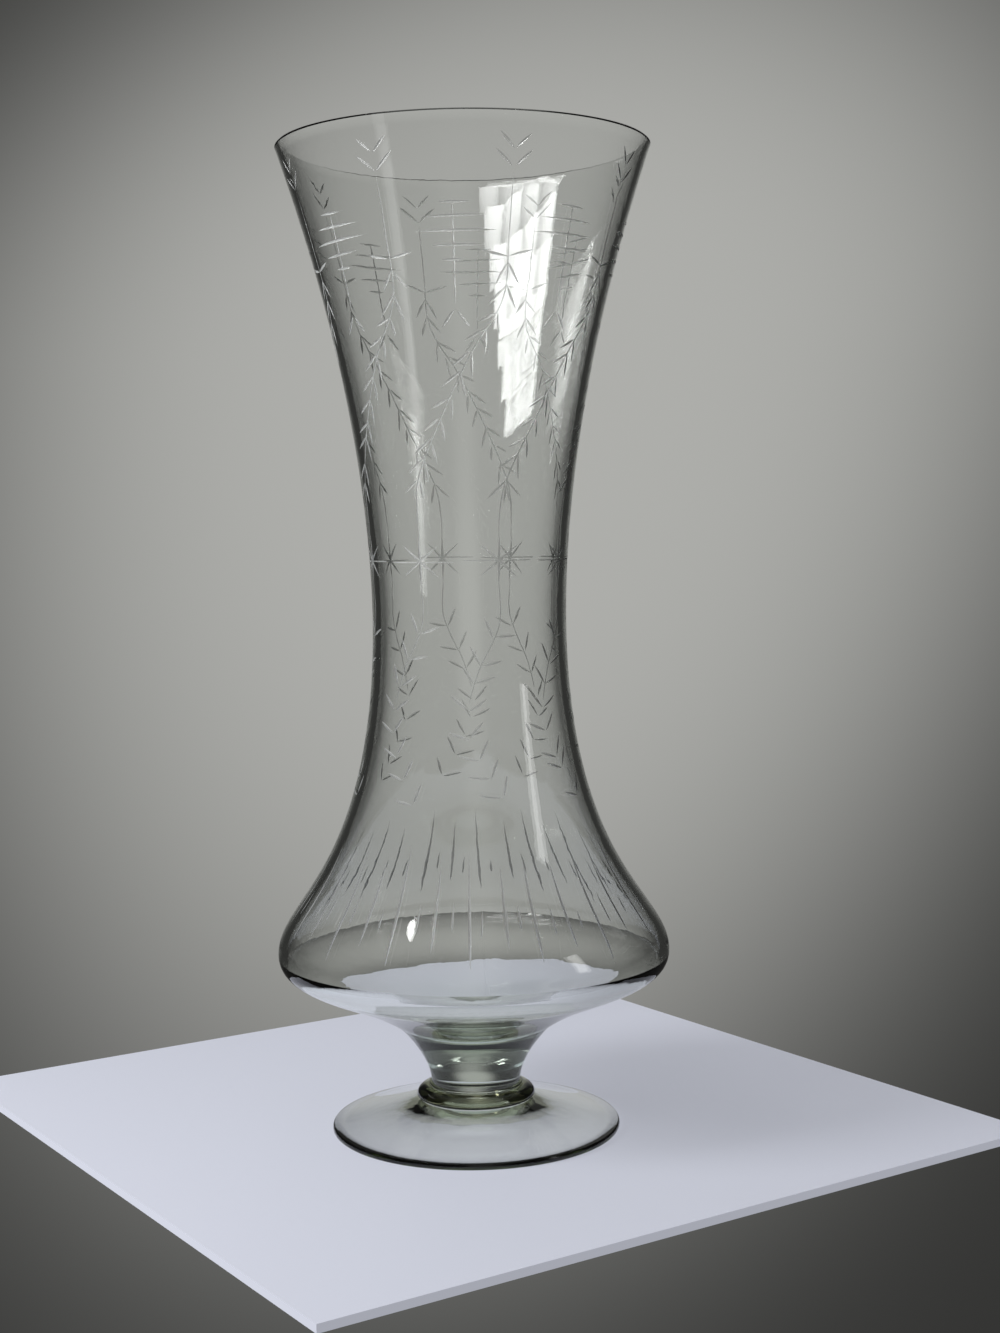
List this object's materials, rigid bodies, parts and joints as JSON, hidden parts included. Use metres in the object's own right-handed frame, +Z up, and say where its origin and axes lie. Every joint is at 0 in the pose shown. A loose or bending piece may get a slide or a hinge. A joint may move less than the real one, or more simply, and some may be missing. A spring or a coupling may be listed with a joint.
{
  "type": "footed trumpet vase",
  "caption": "Tall footed glass vase: low bulb, narrow waist and open trumpet mouth, with wheel-cut ferns, stars and needle flutes.",
  "frame": {"origin": "on the axis of the vase, at the surface it stands on", "axes": "+Z up the axis towards the mouth; -Y faces the viewer of the picture, +X is to that viewer's right"},
  "size_m": [0.2014, 0.2014, 0.5],
  "materials": {
    "bowl_glass": "fire-polished clear blown glass with semi-polished wheel-cut engraving",
    "stem_glass": "fire-polished solid clear glass with a faint green cast",
    "collar_glass": "fire-polished olive green glass",
    "foot_glass": "fire-polished glass, grey-green, dark green at its edge"
  },
  "bodies": {
    "root": {"foot": "foot_glass", "collar": "collar_glass", "stem": "stem_glass", "bowl": "bowl_glass"}
  },
  "joints": []
}
